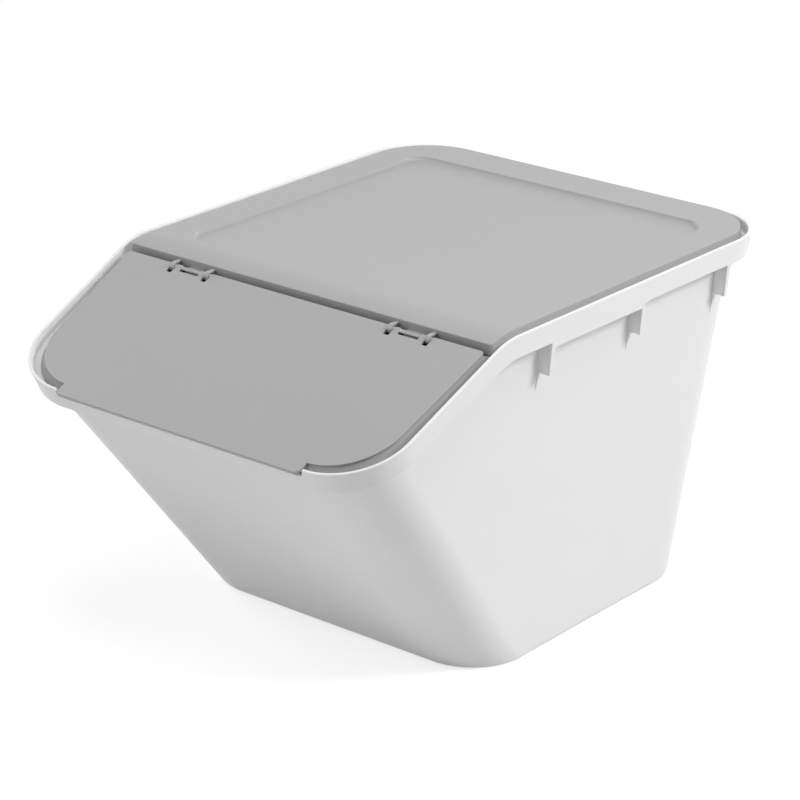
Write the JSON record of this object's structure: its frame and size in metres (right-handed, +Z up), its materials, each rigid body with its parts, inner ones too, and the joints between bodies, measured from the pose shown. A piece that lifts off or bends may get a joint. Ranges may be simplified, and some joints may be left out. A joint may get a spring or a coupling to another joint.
{
  "type": "front-access storage bin",
  "caption": "Moulded plastic stacking bin with a sloped mouth, a white tub, a grey lift-off top lid and a grey front flap that swings up on snap hooks.",
  "frame": {"origin": "on the floor, in the middle of the overall box", "axes": "+X right seen from the front, the flap's tab faces -Y, +Z up"},
  "size_m": [0.4, 0.536, 0.3121],
  "materials": {
    "tub_plastic": "satin",
    "lid_plastic": "satin"
  },
  "bodies": {
    "tub_body": {"tub": "tub_plastic"},
    "lid_body": {"top_lid": "lid_plastic"},
    "flap_body": {"front_flap": "lid_plastic"}
  },
  "joints": [
    {"name": "lid_lift", "type": "slide", "parent": "tub_body", "child": "lid_body", "axis": [0, 0, 1], "range_m": [0, 0.12]},
    {"name": "flap_hinge", "type": "hinge", "parent": "lid_body", "child": "flap_body", "pos_m": [0, -0.1205, 0.30063], "axis": [-1, 0, 0], "range_deg": [0, 140]}
  ]
}
